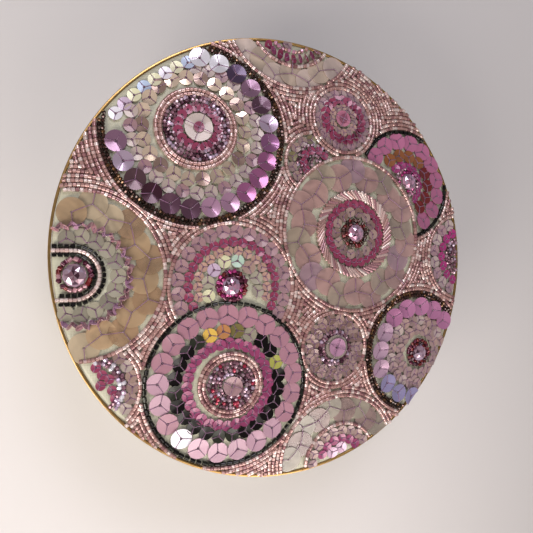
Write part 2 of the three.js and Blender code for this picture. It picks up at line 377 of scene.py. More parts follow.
def dress(piece, material, slot, *nodes):
    if material:
        piece.data.materials.clear()
        piece.data.materials.append(material)
    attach(piece, "root")
    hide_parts(*nodes)
    return piece


# %% [markdown]
# The drum is board covered in silk, open at the top. The lid is a paper-covered board with a lip
# that drops inside the drum. Their main sizes are read from the frame, and the walls and roundings
# are a box maker's usual ones.

# %% Drum and lid board
WALL = 3 * MM
FLOOR = 3.5 * MM
LIP_WALL = 2.5 * MM
LIP_CLEARANCE = 0.6 * MM
BAND_WALL = 0.9 * MM
FOOT_ROUND = 1.4 * MM
MOUTH_ROUND = 0.9 * MM
LIP_ROUND = 0.8 * MM
BOARD_ROUND = 0.4 * MM
FINE_ROUND = 0.3 * MM
BODY_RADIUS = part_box("box_body")[1].x
BODY_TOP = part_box("box_body")[1].z
LID_LOW, LID_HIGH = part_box("lid_board")
BAND_LOW, BAND_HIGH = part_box("rim_band")
LIP_OUTER = BODY_RADIUS - WALL - LIP_CLEARANCE
LIP_INNER = LIP_OUTER - LIP_WALL
BAND_INNER = BAND_HIGH.x - BAND_WALL

drum = turned("silk_covered_drum", rounded([
    (0, 0, 0), (BODY_RADIUS, 0, FOOT_ROUND), (BODY_RADIUS, BODY_TOP, MOUTH_ROUND),
    (BODY_RADIUS - WALL, BODY_TOP, MOUTH_ROUND), (BODY_RADIUS - WALL, FLOOR, 1 * MM), (0, FLOOR, 0),
]))
dress(lay_cloth(drum), SILK, "silk_cover", "box_body")
board = turned("papered_lid_board", rounded([
    (0, BAND_LOW.z, 0), (LIP_INNER, BAND_LOW.z, FINE_ROUND), (LIP_INNER, LID_LOW.z, LIP_ROUND),
    (LIP_OUTER, LID_LOW.z, LIP_ROUND), (LIP_OUTER, BAND_LOW.z, FINE_ROUND),
    (LID_HIGH.x, BAND_LOW.z, BOARD_ROUND), (LID_HIGH.x, LID_HIGH.z, BOARD_ROUND), (0, LID_HIGH.z, 0),
]))
dress(lay_cloth(board), PAPER, "lid_lining", "lid_board")
print("turned pieces:", drum.name, board.name)

# %% [markdown]
# The silk round the drum meets itself at the back. One end is folded under and laid over the other,
# so a flat lap 9 mm wide stands a little proud from foot to mouth. It could be a line in the
# material, but a real step catches the light along both its edges.

# %% Lapped seam
SEAM_WIDTH = 9 * MM
SEAM_PROUD = 0.45 * MM
SEAM_INSET = 0.1 * MM


def lapped_seam(columns=12):
    low, high = 1.2 * MM, BODY_TOP - 0.8 * MM
    mesh = bmesh.new()
    rings = []
    for column in range(columns + 1):
        share = 2 * column / columns - 1
        angle = math.pi / 2 + share * SEAM_WIDTH / 2 / BODY_RADIUS
        outer = BODY_RADIUS + SEAM_PROUD * (1 - abs(share) ** 6) + 0.02 * MM
        inner = BODY_RADIUS - SEAM_INSET
        rings.append([
            mesh.verts.new((r * math.cos(angle), r * math.sin(angle), z))
            for r, z in ((inner, low), (outer, low), (outer, high), (inner, high))
        ])
    join_rings(mesh, rings)
    mesh.faces.new(rings[0])
    mesh.faces.new(rings[-1])
    return mesh_object("lapped_silk_seam", mesh, False)


seam = dress(lay_cloth(lapped_seam()), SILK, "silk_cover")
print("seam faces:", len(seam.data.polygons))

# %% [markdown]
# The brass band goes round the board's edge and covers the edge of the silk. It is a closed ring,
# turned like the drum but in twice as many steps, because a bright edge would show its corners.

# %% Brass band
band = turned("brass_band", rounded([
    (BAND_INNER, BAND_LOW.z, 0.2 * MM), (BAND_HIGH.x, BAND_LOW.z, FINE_ROUND),
    (BAND_HIGH.x, BAND_HIGH.z, FINE_ROUND), (BAND_INNER, BAND_HIGH.z, FINE_ROUND),
]), closed=True, segments=2 * SEGMENTS)
dress(band, BRASS, "brass_band", "rim_band")
print("band faces:", len(band.data.polygons))

# %% [markdown]
# Sixteen rosettes are sewn on the lid. Each has a middle, a radius and the width of its outline row.
# Where two meet, the one that comes first here lies on top, as on the real lid. All of this is in
# millimetres in the plan of the lid, and the silk's dome lifts it into place afterwards.

# %% Rosettes
SEWN_RADIUS = 73.6
RIM_RISE_FROM = 73.0
RIM_RISE = 0.5
KEEP_OFF = 0.2  # how far a middle stays off the row above it, as a share of the piece's size
DOME = 6.0
PAD_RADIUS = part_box("silk_pad")[1].x / MM
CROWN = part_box("silk_pad")[1].z / MM
ROSETTES = {
    "plum": (-30.8, 39.5, 29.0, 2.4),
    "black": (-20.1, -41.8, 26.5, 1.4),
    "bugle": (25.9, 8.2, 27.0, 1.4),
    "small": (22.6, 48.4, 12.4, 2.8),
    "amber": (-66.5, -6.5, 26.0, 1.4),
    "olive": (18.2, -31.5, 12.3, 1.4),
    "lilac": (53.7, -34.6, 21.3, 2.4),
    "orchid": (48.6, 27.4, 19.4, 1.4),
    "back_inner": (4.3, 81.4, 15.6, 1.4),
    "back": (4.8, 82.4, 24.6, 1.4),
    "front_inner": (22.9, -72.3, 13.7, 1.4),
    "front": (21.9, -70.8, 22.2, 1.4),
    "right": (75.2, 0.8, 16.0, 1.4),
    "crimson": (-18.9, -10.1, 20.6, 1.4),
    "hidden": (10.5, 32.0, 10.7, 1.4),
    "edge": (-62.3, -41.0, 14.5, 1.4),
}
ORDER = list(ROSETTES)


def silk_level(x, y):
    return CROWN - DOME * (x * x + y * y) / PAD_RADIUS ** 2


def silk_normal(x, y):
    slope = 2 * DOME / PAD_RADIUS ** 2
    return Vector((slope * x, slope * y, 1)).normalized()


def from_outline(name, x, y):
    """How far a point lies outside a rosette's outline row, in millimetres."""
    cx, cy, radius, width = ROSETTES[name]
    return math.hypot(x - cx, y - cy) - radius - width / 2


def is_open(name, x, y, reach):
    """True where no rosette that lies on top covers the point and the pad carries it."""
    if math.hypot(x, y) > SEWN_RADIUS:
        return False
    return all(from_outline(upper, x, y) > KEEP_OFF * reach for upper in ORDER[:ORDER.index(name)])


print("rosettes:", len(ROSETTES))

# %% [markdown]
# The pad is silk over wadding. It is a closed, crowned form: a dome that rolls over at its edge down
# to the board. Every outline row was pulled tight when it was sewn, so the silk dips along it and
# swells between. A cloth simulation could find the dips, but almost all of the pad lies under the
# needlework, so they are worked straight into the mesh.

# %% Silk pad
PAD_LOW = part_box("silk_pad")[0].z
PUCKER = 0.22
PUCKER_WIDTH = 1.6
PAD_RINGS = 60
EDGE_STEPS = 4
EDGE_ROLL = 0.35
EDGE_UNDER = 0.4
COVER_RADIUS = PAD_RADIUS + 0.5


def pad_height(x, y):
    near = min(abs(from_outline(name, x, y)) for name in ORDER)
    return silk_level(x, y) - PUCKER * math.exp(-(near / PUCKER_WIDTH) ** 2)


def silk_pad():
    points = [Vector((0, PAD_LOW)), Vector(((COVER_RADIUS - EDGE_UNDER) * MM, PAD_LOW))]
    edge = silk_level(COVER_RADIUS, 0) * MM
    for step in range(EDGE_STEPS + 1):
        t = step / EDGE_STEPS
        height = PAD_LOW + (edge - PAD_LOW) * t
        points.append(Vector(((COVER_RADIUS - EDGE_ROLL * (1 - t) ** 2) * MM, height)))
    points += [Vector((COVER_RADIUS * MM * (1 - k / PAD_RINGS), edge)) for k in range(1, PAD_RINGS + 1)]
    piece = turned("silk_pad_cover", points)
    for vertex in piece.data.vertices:
        if vertex.co.z > edge - 1e-6:
            x, y = vertex.co.x / MM, vertex.co.y / MM
            vertex.co.z = pad_height(x, y) * MM
    return piece


pad = dress(lay_cloth(silk_pad()), SILK, "silk_ground", "silk_pad")
print("pad vertices:", len(pad.data.vertices))

# %% [markdown]
# Beads and sequins repeat by the hundred, so each kind is one small shape, and a Geometry Nodes tree
# sets a copy on every sewn point. The points carry three attributes: turn, the way the copy lies;
# stretch, its size along each axis; and tint, its colour. A little random size, from a fixed seed,
# keeps the rows from looking stamped. The tree ends by making the copies real and giving the finish.

# %% The tree that sews copies on points


def open_tree(name, sockets):
    """A new tree with its named inputs; returns the tree and the inputs' sockets."""
    tree = bpy.data.node_groups.new(name, "GeometryNodeTree")
    for label, kind, value in sockets:
        socket = tree.interface.new_socket(name=label, in_out="INPUT", socket_type=kind)
        if value is not None:
            socket.default_value = value
    tree.interface.new_socket(name="Geometry", in_out="OUTPUT", socket_type="NodeSocketGeometry")
    return tree, add_node(tree, "NodeGroupInput").outputs


def close_tree(tree, geometry, finish):
    """Every tree ends alike: copies made real, the finish set, and the result handed out."""
    real = add_node(tree, "GeometryNodeRealizeInstances", inputs={"Geometry": geometry})
    done = add_node(tree, "GeometryNodeSetMaterial", inputs={
        "Geometry": real.outputs["Geometry"], "Material": finish,
    })
    add_node(tree, "NodeGroupOutput", inputs={"Geometry": done.outputs["Geometry"]})
    return tree


def sewing_tree():
    tree, start = open_tree("sew_copies_on_points", [
        ("Geometry", "NodeSocketGeometry", None), ("Shape", "NodeSocketObject", None),
        ("Smallest", "NodeSocketFloat", 0.94), ("Largest", "NodeSocketFloat", 1.06),
        ("Seed", "NodeSocketInt", 3), ("Finish", "NodeSocketMaterial", None),
    ])
    shape = add_node(tree, "GeometryNodeObjectInfo", inputs={"Object": start["Shape"]})
    turn, stretch = [
        add_node(tree, "GeometryNodeInputNamedAttribute", {"data_type": "FLOAT_VECTOR"}, {
            "Name": attribute,
        }).outputs["Attribute"]
        for attribute in ("turn", "stretch")
    ]
    rotation = add_node(tree, "FunctionNodeEulerToRotation", inputs={"Euler": turn})
    size = add_node(tree, "FunctionNodeRandomValue", {"data_type": "FLOAT"}, {
        2: start["Smallest"], 3: start["Largest"], "Seed": start["Seed"],
    })
    scale = add_node(tree, "ShaderNodeVectorMath", {"operation": "SCALE"}, {
        0: stretch, "Scale": size.outputs[1],
    })
    copies = add_node(tree, "GeometryNodeInstanceOnPoints", inputs={
        "Points": start["Geometry"], "Instance": shape.outputs["Geometry"],
        "Rotation": rotation.outputs["Rotation"], "Scale": scale.outputs["Vector"],
    })
    return close_tree(tree, copies.outputs["Instances"], start["Finish"])


SEWING = sewing_tree()


def run_tree(piece, tree, values):
    """Runs a Geometry Nodes tree on a piece and keeps its result as a plain mesh."""
    modifier = piece.modifiers.new("tree", "NODES")
    modifier.node_group = tree
    for item in tree.interface.items_tree:
        if item.name in values:
            modifier[item.identifier] = values[item.name]
    graph = bpy.context.evaluated_depsgraph_get()
    result = bpy.data.meshes.new_from_object(piece.evaluated_get(graph))
    piece.modifiers.clear()
    piece.data = result
    piece.data.name = piece.name
    return piece


print("nodes in the sewing tree:", len(SEWING.nodes))

# %% [markdown]
# The small shapes that repeat, each one unit across. A seed bead is a short piece cut from a glass
# tube and melted round at its ends. A bugle is a longer piece, hardly melted. A cut bead is ground
# flat on six sides, so it glints. A sequin is thin film with a hole, pressed into a cup of three
# lobes, and the creases between them are where its stitches lie. Smooth shading with a few sharp
# edges gives long highlights, so that a few dozen faces are enough for each.

# %% Small shapes
SHARP_ANGLE = math.radians(40)
FILM = 0.03
CONE_SHARE = 0.45  # how much of a cup is a plain cone; the rest is its three lobes


def shape_object(name, mesh, smooth=True):
    piece = mesh_object(name, mesh, smooth)
    piece.hide_render = True
    return piece


def barrel(name, profile, sides, smooth):
    """A short bar along X; the profile is (place along the thread, radius)."""
    mesh = bmesh.new()
    angles = [TURN * k / sides for k in range(sides)]
    rings = [[mesh.verts.new((x, r * math.cos(a), r * math.sin(a))) for a in angles] for x, r in profile]
    join_rings(mesh, rings)
    mesh.faces.new(rings[0])
    mesh.faces.new(rings[-1])
    for edge in mesh.edges:
        edge.smooth = edge.verts[0].co.x != edge.verts[1].co.x
    return shape_object(name, mesh, smooth)


def sequin_shape(name, slope, rim=18, hole=0.07):
    mesh = bmesh.new()
    rings = []
    for radius, drop in ((hole, 0), (0.5, 0), (0.5, FILM), (hole, FILM)):
        ring = []
        for k in range(rim):
            angle = TURN * k / rim
            lobe = math.pi / 3 + TURN / 3 * (k * 3 // rim)
            rise = CONE_SHARE + (1 - CONE_SHARE) * math.cos(angle - lobe)
            spot = (radius * math.cos(angle), radius * math.sin(angle), slope * radius * rise - drop)
            ring.append(mesh.verts.new(spot))
        rings.append(ring)
    join_rings(mesh, rings, closed=True)
    bmesh.ops.recalc_face_normals(mesh, faces=mesh.faces)
    for edge in mesh.edges:
        edge.smooth = edge.calc_face_angle(0) < SHARP_ANGLE
    return shape_object(name, mesh)


SHAPES = {
    "bead": barrel("seed_bead", [(-0.5, 0.37), (-0.4, 0.5), (0.4, 0.5), (0.5, 0.37)], 8, True),
    "bugle": barrel("bugle_bead", [(-0.5, 0.42), (-0.46, 0.5), (0.46, 0.5), (0.5, 0.42)], 8, True),
    "cut_bead": barrel("cut_bead", [(-0.5, 0.2), (-0.16, 0.5), (0.2, 0.47), (0.5, 0.22)], 6, False),
    "disc": sequin_shape("large_clear_sequin", 0.01, 24, 0.04),
    "flat": sequin_shape("flat_sequin", 0.07),
    "cup": sequin_shape("cup_sequin", 0.15, hole=0.1),
    "deep_cup": sequin_shape("deep_cup_sequin", 0.24),
}
print("faces a copy:", {name: len(shape.data.polygons) for name, shape in SHAPES.items()})

# %% [markdown]
# Colours go by the names on a bead seller's card, and each copy is a little lighter or darker than
# its card. A row of shades is written as a maker notes it, so "3 blush, jet" is blush three times
# and then jet. All that is random here and below comes from one dice with a fixed seed.

# %% Shade card
SHADES = {
    "rose": "b48c86", "pale rose": "d2b4ae", "deep rose": "94686a", "white rose": "e0ccc6",
    # copper fleck is in part a painted glint: the golden gleam of bronze beads put into a colour.
    "bronze": "523630", "dark bronze": "34221c", "copper fleck": "6c4c30", "jet": "100c0c",
    # jet green is in part a painted glint: the green shine of jet beads put into a colour.
    "jet green": "2a2c24", "wine": "442030", "plum": "5e3e50", "mauve": "8c6880", "lilac": "bca6bc",
    "pink": "bc90ac", "orchid": "a86490", "mauve orchid": "905c84", "violet": "4c3a54",
    # white lilac is in part a painted highlight: it stands for lilac, blush and pink film where the light
    # catches it.
    "taupe": "5e424a", "white lilac": "f0ecf4", "pearl yellow": "d6d4ac", "pearl blue": "aabcd4",
    "pearl mint": "a8c0ae", "champagne": "d6c0aa", "mauve beige": "b2a298", "dusty mauve": "9a787c",
    # The ruby on the next line is a painted red glint: the coloured flash of coated cut beads.
    "crystal mauve": "805866", "crystal pale": "a88a96", "crystal pink": "cc92ac", "ruby": "a82c48",
    "crimson": "8a3654", "fuchsia": "8c3a62", "magenta": "a03070", "dark magenta": "5c2038",
    "old rose": "b4868e", "blush": "a67684", "pale blush": "b48e9e", "peach": "b08c7c",
    "amber": "b49876", "deep amber": "a08264", "pale amber": "bcaa8e", "sage": "9e9884",
    "grey sage": "888272", "pale sage": "968f7c", "taupe pink": "b08c84", "taupe green": "a49480",
    # The back net's pale cream and pale beige are lighter than its film: in part painted light where the
    # back of the lid is lit.
    "taupe mauve": "aa8a94", "pale cream": "d4c0a8", "cream": "9a8074", "pale beige": "dcc8ba",
    "beige": "8e766e", "dark beige": "745a4e", "olive": "6c643c", "gold": "d0ac54", "copper": "b07c50",
    "lime": "a4a454", "brown": "86502c", "maroon": "6c1c1e", "orchid pink": "b0688a",
    # metal white is in part a painted highlight: on the lilac rosette it stands for pink cups that the
    # window lights.
    "metal orchid": "ca86b0", "metal white": "d0acc4", "metal blue": "a49cc6", "bugle pink": "a87a80",
    "pink cup": "d4a0c0", "rose cup": "c06c88", "thread": "7c5072",
}
DICE = random.Random(11)


def shade_row(text):
    row = []
    for part in text.split(", "):
        count, _, name = part.partition(" ")
        row += [name] * int(count) if count.isdigit() else [part]
    return row


def shade(name, spread=0.12):
    light = 1 + DICE.uniform(-spread, spread)
    return tuple(min(1.0, channel * light) for channel in linear(SHADES[name])[:3]) + (1.0,)


print("shades on the card:", len(SHADES))

# %% [markdown]
# A list of sewn points gathers what lies where, and one call turns the list into a piece. Each point
# is a place, a turn, a stretch and a tint. The turn is built from the silk's own slope, so that
# everything lies on the dome, and whatever would pass the brass band is cut off along it.

# %% Sewn points
TUCK_RADIUS = (SEWN_RADIUS + 1.0) * MM


def toward(angle):
    return Vector((math.cos(angle), math.sin(angle), 0))


def around(middle, reach, angle):
    return middle[0] + reach * math.cos(angle), middle[1] + reach * math.sin(angle)


def lay(x, y, heading, lift, pitch=0.0, roll=0.0, spin=0.0):
    """Place and turn of something sewn at a point: X runs along the heading, Z stands off the silk."""
    lift += max(0.0, math.hypot(x, y) - RIM_RISE_FROM) * RIM_RISE
    up = silk_normal(x, y)
    along = toward(heading)
    along = (along - up * along.dot(up)).normalized()
    basis = Matrix((along, up.cross(along), up)).transposed()
    tilt = Matrix.Rotation(pitch, 3, "Y") @ Matrix.Rotation(roll, 3, "X") @ Matrix.Rotation(spin, 3, "Z")
    return Vector((x, y, silk_level(x, y))) + up * lift, basis @ tilt


def tuck_under_band(piece):
    for vertex in piece.data.vertices:
        reach = math.hypot(vertex.co.x, vertex.co.y)
        if reach > TUCK_RADIUS:
            vertex.co.x *= TUCK_RADIUS / reach
            vertex.co.y *= TUCK_RADIUS / reach


def keep_on_points(data, name, kind, slot, values):
    data.attributes.new(name, kind, "POINT").data.foreach_set(slot, values)


def sewn_piece(name, kind, points, material, slot, nodes, jitter=0.05):
    data = bpy.data.meshes.new(name)
    data.from_pydata([place * MM for place, _, _, _ in points], [], [])
    turns = [v for _, turn, _, _ in points for v in turn.to_euler()]
    sizes = [v * MM for _, _, stretch, _ in points for v in stretch]
    keep_on_points(data, "turn", "FLOAT_VECTOR", "vector", turns)
    keep_on_points(data, "stretch", "FLOAT_VECTOR", "vector", sizes)
    keep_on_points(data, "tint", "FLOAT_COLOR", "color", [v for _, _, _, tint in points for v in tint])
    piece = add_object(name, data)
    run_tree(piece, SEWING, {
        "Shape": SHAPES[kind], "Smallest": 1 - jitter, "Largest": 1 + jitter, "Seed": len(points),
        "Finish": material,
    })
    tuck_under_band(piece)
    return dress(piece, None, slot, *nodes)


def nodes_named(start):
    return [node for node in NODES if node == start or node.startswith(start + "_")]


print("cut off beyond, in mm:", round(TUCK_RADIUS / MM, 1))

# %% [markdown]
# The outline rows. A single row has its beads end to end on the thread, and a double row lays two
# threads side by side. Two rosettes are edged with double rows of small cut bronze beads, and two
# with jet bugles, which are longer and show gaps where the thread turns. A curve with beads along it
# would do too, but single points let the rows stop where a neighbour lies on top.

# %% Outline rows
BEAD = 1.4
BEAD_LENGTH = 1.2
BEAD_SHARE = 0.96  # how much of its length on the thread a bead fills
JET_LENGTH = 2.1
JET_SHARE = BEAD_SHARE * 0.84
ROW_LIFT = 0.75
SMALL_REACH = 0.7
ROSE_MIX = "2 rose, pale rose, deep rose, rose, white rose"
# copper fleck, one bead in five on average, is in part a painted glint.
BRONZE_MIX = "bronze, 2 dark bronze, bronze, copper fleck"
# jet green, one bead in four on average, stands in part for a painted glint.
JET_MIX = "3 jet, jet green"
BRONZE_ROWS = {"plum", "lilac"}
JET_ROWS = {"black", "orchid"}


def bead_ring(name, radius, shades, length=BEAD_LENGTH, width=BEAD, middle=None, share=BEAD_SHARE):
    row = shade_row(shades)
    count = max(6, round(TURN * radius / length))
    points = []
    for k in range(count):
        angle = TURN * k / count
        x, y = around(middle or ROSETTES[name], radius + DICE.uniform(-0.06, 0.06), angle)
        if not is_open(name, x, y, SMALL_REACH):
            continue
        heading = angle + math.pi / 2 + DICE.uniform(-0.12, 0.12)
        place, turn = lay(x, y, heading, ROW_LIFT, DICE.uniform(-0.1, 0.1), DICE.uniform(0, 1))
        points.append((place, turn, (length * share, width, width), shade(DICE.choice(row))))
    return points


def double_row(name, radius, apart, shades):
    return bead_ring(name, radius - apart, shades) + bead_ring(name, radius + apart, shades)


for name in ORDER:
    _, _, radius, width = ROSETTES[name]
    nodes = nodes_named(f"{name}_rosette_strand")
    if name in BRONZE_ROWS:
        row = double_row(name, radius, 0.6, BRONZE_MIX)
        sewn_piece(f"{name}_rosette_outline", "cut_bead", row, METAL_BEAD, "bronze_beads", nodes)
    elif name in JET_ROWS:
        row = bead_ring(name, radius, JET_MIX, JET_LENGTH, share=JET_SHARE)
        sewn_piece(f"{name}_rosette_outline", "bugle", row, METAL_BEAD, "black_bugles", nodes, 0.03)
    else:
        row = double_row(name, radius, 0.7, ROSE_MIX) if width > 2 else bead_ring(name, radius, ROSE_MIX)
        sewn_piece(f"{name}_rosette_outline", "bead", row, GLASS_BEAD, "rose_beads", nodes)
print("outline rows:", len(ORDER))

# %% [markdown]
# Between the rosettes the silk is filled with rows of rose seed beads. Every row runs at an even
# distance from the nearest outline, so the rows of two neighbours meet along a seam. Beads strewn at
# random would look like gravel. Here a bead is kept only where its own rosette is the nearest one,
# and the beads are split into two pieces, so that neither grows too large.

# %% Bead ground
GROUND_ROWS = 28
GROUND_PITCH = 1.22
GROUND_LENGTH = 1.17
GROUND_RADIUS = SEWN_RADIUS + 0.45
ROW_GAP = 0.55
SEAM_OVERLAP = 0.3


def ground_rows():
    mix = shade_row(ROSE_MIX)
    points = []
    for name in ORDER:
        _, _, radius, width = ROSETTES[name]
        for row in range(GROUND_ROWS):
            away = (row + 0.5) * BEAD
            reach = radius + width / 2 + away
            count = round(TURN * reach / GROUND_PITCH)
            start = DICE.random()
            for k in range(count):
                angle = TURN * (k + start) / count
                x, y = around(ROSETTES[name], reach, angle)
                if math.hypot(x, y) > GROUND_RADIUS:
                    continue
                nearest = min(from_outline(other, x, y) for other in ORDER if other != name)
                if nearest < ROW_GAP or nearest < away - SEAM_OVERLAP:
                    continue
                heading = angle + math.pi / 2 + DICE.uniform(-0.14, 0.14)
                lift = 0.7 + DICE.uniform(-0.08, 0.08)
                place, turn = lay(x, y, heading, lift, DICE.uniform(-0.12, 0.12), DICE.uniform(0, 1))
                points.append((place, turn, (GROUND_LENGTH, BEAD, BEAD), shade(DICE.choice(mix), 0.16)))
    return points


ground = ground_rows()
half = len(ground) // 2
ground_nodes = [node for node in NODES if node.startswith("bead_ground")]
sewn_piece("rose_bead_ground_left", "bead", ground[:half], GLASS_BEAD, "rose_beads", ground_nodes)
sewn_piece("rose_bead_ground_right", "bead", ground[half:], GLASS_BEAD, "rose_beads", [])
print("seed beads in the ground:", len(ground))

# %% [markdown]
# Inside each outline the sequins lie in rings, and a ring's sequins overlap like roof tiles: each
# leans on the one before. A ring is given as radius, sequin size, how many go round, and its shades
# in order. Most sequins are held by three stitches from the hole, one along each crease, and the
# small ones in crowded rings by one or two.

# %% Sewing one sequin
SEQUINS = {}
STITCHES = []
THREAD_SIZE = 0.24
CREASE_RISE = {"disc": 0.0, "flat": 0.025, "cup": 0.055, "deep_cup": 0.087}


def stitch(points_in_mm):
    STITCHES.append([point * MM for point in points_in_mm])


def add_sequin(name, kind, finish, x, y, size, heading, lean, shade_name, lift, spin=0.0, tilt=0.0, arms=3):
    if not is_open(name, x, y, size):
        return None
    place, turn = lay(x, y, heading, lift, lean, tilt, spin)
    sewn = (place, turn, (size, size, size), shade(shade_name, 0.1))
    SEQUINS.setdefault((name, kind, finish), []).append(sewn)
    edge = CREASE_RISE[kind] * size
    for arm in range(arms):
        out = toward(TURN * arm / 3 + DICE.uniform(-0.05, 0.05))
        stitch([
            place + turn @ (out * 0.1 - UP * 0.5),
            place + turn @ (out * 0.1 + UP * THREAD_SIZE * 0.6),
            place + turn @ (out * size * 0.5 + UP * (edge + THREAD_SIZE * 0.4)),
            place + turn @ (out * size * 0.55 + UP * (edge - 0.5)),
        ])
    return place, turn


print("thread, in mm:", THREAD_SIZE)

# %% [markdown]
# A ring is a loop over its sequins, with a little looseness in each. Large clear sequins are sewn
# otherwise: they stand in a zigzag, and the thread runs from hole to hole and out to the next row,
# so their stitches make a net.

# %% Sewing rings and nets
LOOSE_REACH = 0.2
NET_ZIGZAG = 1.3
NET_RISE = UP * 0.35
NET_BOW = UP * 0.7


def sequin_ring(name, kind, finish, radius, size, count, shades, first=0.0, middle=None, lean=0.1, lift=0.6,
                tilt=0.0, net=False, skip=None, arms=3, loose=0.05):
    row = shade_row(shades)
    holes = []
    for k in range(count):
        angle = math.radians(first) + TURN * k / count
        if skip and skip[0] < math.degrees(angle) % 360 < skip[1]:
            holes.append(None)
            continue
        side = 1 if k % 2 else -1
        reach = radius + DICE.uniform(-LOOSE_REACH, LOOSE_REACH) + (NET_ZIGZAG * side if net else 0)
        x, y = around(middle or ROSETTES[name], reach, angle)
        sewn = add_sequin(
            name, kind, finish, x, y, size, angle + math.pi / 2, lean + DICE.uniform(-loose, loose),
            row[k % len(row)], lift, spin=DICE.uniform(0, 2), tilt=tilt + DICE.uniform(-loose, loose),
            arms=0 if net else arms,
        )
        holes.append(sewn)
        if net and sewn:
            hole, out = sewn[0], toward(angle) * side * size
            stitch([hole + NET_RISE, hole + out * 0.3 + UP * 0.42, hole + out * 0.48 + UP * 0.3])
    if net:
        for here, there in zip(holes, holes[1:] + holes[:1]):
            if here and there:
                bow = (here[0] + there[0]) / 2 + NET_BOW
                stitch([here[0] + NET_RISE, bow, there[0] + NET_RISE])


def clear_net(name, radius, size, count, shades, first):
    sequin_ring(name, "disc", "clear", radius, size, count, shades, first, lean=0.07, lift=0.7, net=True)


print("zigzag of a net, in mm:", NET_ZIGZAG)

# %% [markdown]
# Small beads fill what the sequins leave. A cluster is loose rings of seed beads or cut beads that
# lie every way and catch the light. Rows are threaded rings, like the outlines. A bow is a row like a
# horseshoe, round on its right side, with both ends running straight to the rim.

# %% Sewing small beads
CLUSTERS = {}
CLUSTER_LIFT = 0.8
BOW_END = 6.4


def bead_cluster(name, inner, outer, shades, middle=None, size=1.4, step=1.35, kind="bead"):
    row = shade_row(shades)
    radius = inner + step / 2
    while radius <= outer - step / 2 + 0.2:
        count = max(3, round(TURN * radius / step))
        for k in range(count):
            angle = TURN * (k + DICE.uniform(-0.25, 0.25)) / count
            reach = radius + DICE.uniform(-LOOSE_REACH, LOOSE_REACH)
            x, y = around(middle or ROSETTES[name], reach, angle)
            if is_open(name, x, y, SMALL_REACH):
                heading = DICE.uniform(0, math.pi)
                lift = CLUSTER_LIFT + DICE.uniform(-0.15, 0.25)
                place, turn = lay(x, y, heading, lift, DICE.uniform(-0.5, 0.5))
                sewn = (place, turn, (size, size, size), shade(DICE.choice(row), 0.25))
                CLUSTERS.setdefault((name, kind), []).append(sewn)
        radius += step


def bead_rows(name, radii, shades, middle, length, width):
    for radius in radii:
        row = bead_ring(name, radius, shades, length, width, middle)
        CLUSTERS.setdefault((name, "bead"), []).extend(row)


def bead_bow(name, radius, shades, middle, length, width, kind):
    cx, cy = middle
    row = shade_row(shades)
    share = 0.8 if kind == "bugle" else BEAD_SHARE
    points = []
    for k in range(round((2 * BOW_END + math.pi * radius) / length)):
        run = (k + 0.5) * length - BOW_END
        if run < 0:
            x, y, heading = cx + run, cy + radius, 0.0
        elif run < math.pi * radius:
            angle = math.pi / 2 - run / radius
            x, y = around(middle, radius, angle)
            heading = angle + math.pi / 2
        else:
            x, y, heading = cx - (run - math.pi * radius), cy - radius, 0.0
        if is_open(name, x, y, SMALL_REACH):
            place, turn = lay(x, y, heading + DICE.uniform(-0.08, 0.08), ROW_LIFT)
            points.append((place, turn, (length * share, width, width), shade(DICE.choice(row))))
    CLUSTERS.setdefault((name, kind), []).extend(points)


MAUVE_CRYSTALS = "3 crystal mauve, 2 crystal pale, wine, lilac"
print("crystal mix:", MAUVE_CRYSTALS)

# %% [markdown]
# The plum rosette is the largest. Metallic cups run round its outside from pink to dark plum, and eight
# pearly ones lie along the brass. Inside are a ring of mauve and a ring of champagne cups that lean more
# loosely, then a double row of beads, cut beads, and crimson cups. A model could repeat one plain ring, but
# the real one is known by the order of its shades, so the order is written out. The two white lilac cups
# near the top are a painted reflection on the lilac film.

# %% Plum rosette
# The two white lilac cups near the top are a painted reflection on the lilac film.
sequin_ring("plum", "deep_cup", "metal", 24.9, 6.7, 24,
            "2 pink, 3 orchid, mauve orchid, lilac, plum, mauve, violet, 2 white lilac, 5 lilac, 2 mauve, "
            "lilac, taupe, wine, 2 plum", first=-79.5, skip=(95, 176), lean=0.12, lift=0.7)
RIM_PEARLS = ("pearl blue, pearl yellow, white lilac, pearl yellow, pearl blue, pearl yellow, "
              "lilac, white lilac")
for k, shade_name in enumerate(shade_row(RIM_PEARLS)):
    angle = math.radians(117.6 + 3.45 * k)
    x, y = around((0, 0), 70.6, angle)
    add_sequin("plum", "cup", "pearl", x, y, 4.5, angle, 0.08, shade_name, 0.5)
sequin_ring("plum", "cup", "pearl", 20.6, 4.5, 28, "2 mauve beige, dusty mauve", middle=(-30.6, 40.3),
            lift=0.5, skip=(98, 166))
sequin_ring("plum", "cup", "metal", 16.7, 4.8, 22, "2 champagne, cream", middle=(-31.1, 40.7), lean=0.2,
            loose=0.15)
bead_rows("plum", (12.9, 11.5), "2 rose, pale rose", (-30.5, 40.6), 1.35, 1.5)
bead_cluster("plum", 7.3, 10.8, MAUVE_CRYSTALS, (-30.2, 40.8), 1.35, 1.2, "cut_bead")
sequin_ring("plum", "cup", "film", 6.5, 3.3, 15, "crimson", middle=(-29.9, 40.9), lift=1.0, arms=1)
print("sequins so far:", sum(map(len, SEQUINS.values())))

# %% [markdown]
# The black rosette has large blush sequins outside; the single white lilac one among them, at the lower
# left, is a blush sequin with a painted highlight. Then come black cups with a few gold, olive and lime ones
# among them, as if a bag had been topped up. Inside are fuchsia cups, a double row of beads and cut beads,
# some of them ruby, a painted red glint of the coated beads.

